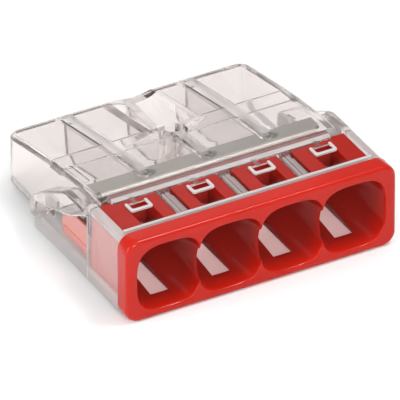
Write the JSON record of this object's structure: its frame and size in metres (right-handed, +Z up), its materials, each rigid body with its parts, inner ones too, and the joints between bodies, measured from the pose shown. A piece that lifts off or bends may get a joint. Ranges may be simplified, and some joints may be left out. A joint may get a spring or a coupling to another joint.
{
  "type": "push-in wire splicing connector",
  "caption": "Compact splicing connector: clear housing, red wire-entry insert, busbar on the floor and sprung clamp blades that grip pushed-in conductors.",
  "frame": {"origin": "bottom centre of the bounding box, on the plane the connector rests on", "axes": "+X along the row of wire entries, -Y the way the wire entries face, +Z up through the roof windows"},
  "size_m": [0.0182, 0.0168, 0.0056],
  "materials": {
    "clear_plastic": "clear moulded polycarbonate, glossy",
    "red_plastic": "moulded, semi-gloss",
    "tinned_copper": "tin-plated, satin",
    "spring_steel": "rolled stainless strip"
  },
  "bodies": {
    "root": {"housing": "clear_plastic", "entry_insert": "red_plastic", "busbar": "tinned_copper", "spring_strip": "spring_steel"},
    "blade_1": {"clamp_blade_1": "spring_steel"},
    "blade_2": {"clamp_blade_2": "spring_steel"},
    "blade_3": {"clamp_blade_3": "spring_steel"},
    "blade_4": {"clamp_blade_4": "spring_steel"}
  },
  "joints": [
    {"name": "blade_1_lift", "type": "hinge", "parent": "root", "child": "blade_1", "pos_m": [-0.00622, -0.00178, 0.00432], "axis": [1, 0, 0], "range_deg": [0, 33], "stiffness_Nm_per_rad": 0.00003},
    {"name": "blade_2_lift", "type": "hinge", "parent": "root", "child": "blade_2", "pos_m": [-0.00208, -0.00178, 0.00432], "axis": [1, 0, 0], "range_deg": [0, 33], "stiffness_Nm_per_rad": 0.00003},
    {"name": "blade_3_lift", "type": "hinge", "parent": "root", "child": "blade_3", "pos_m": [0.00208, -0.00178, 0.00432], "axis": [1, 0, 0], "range_deg": [0, 33], "stiffness_Nm_per_rad": 0.00003},
    {"name": "blade_4_lift", "type": "hinge", "parent": "root", "child": "blade_4", "pos_m": [0.00622, -0.00178, 0.00432], "axis": [1, 0, 0], "range_deg": [0, 33], "stiffness_Nm_per_rad": 0.00003}
  ]
}
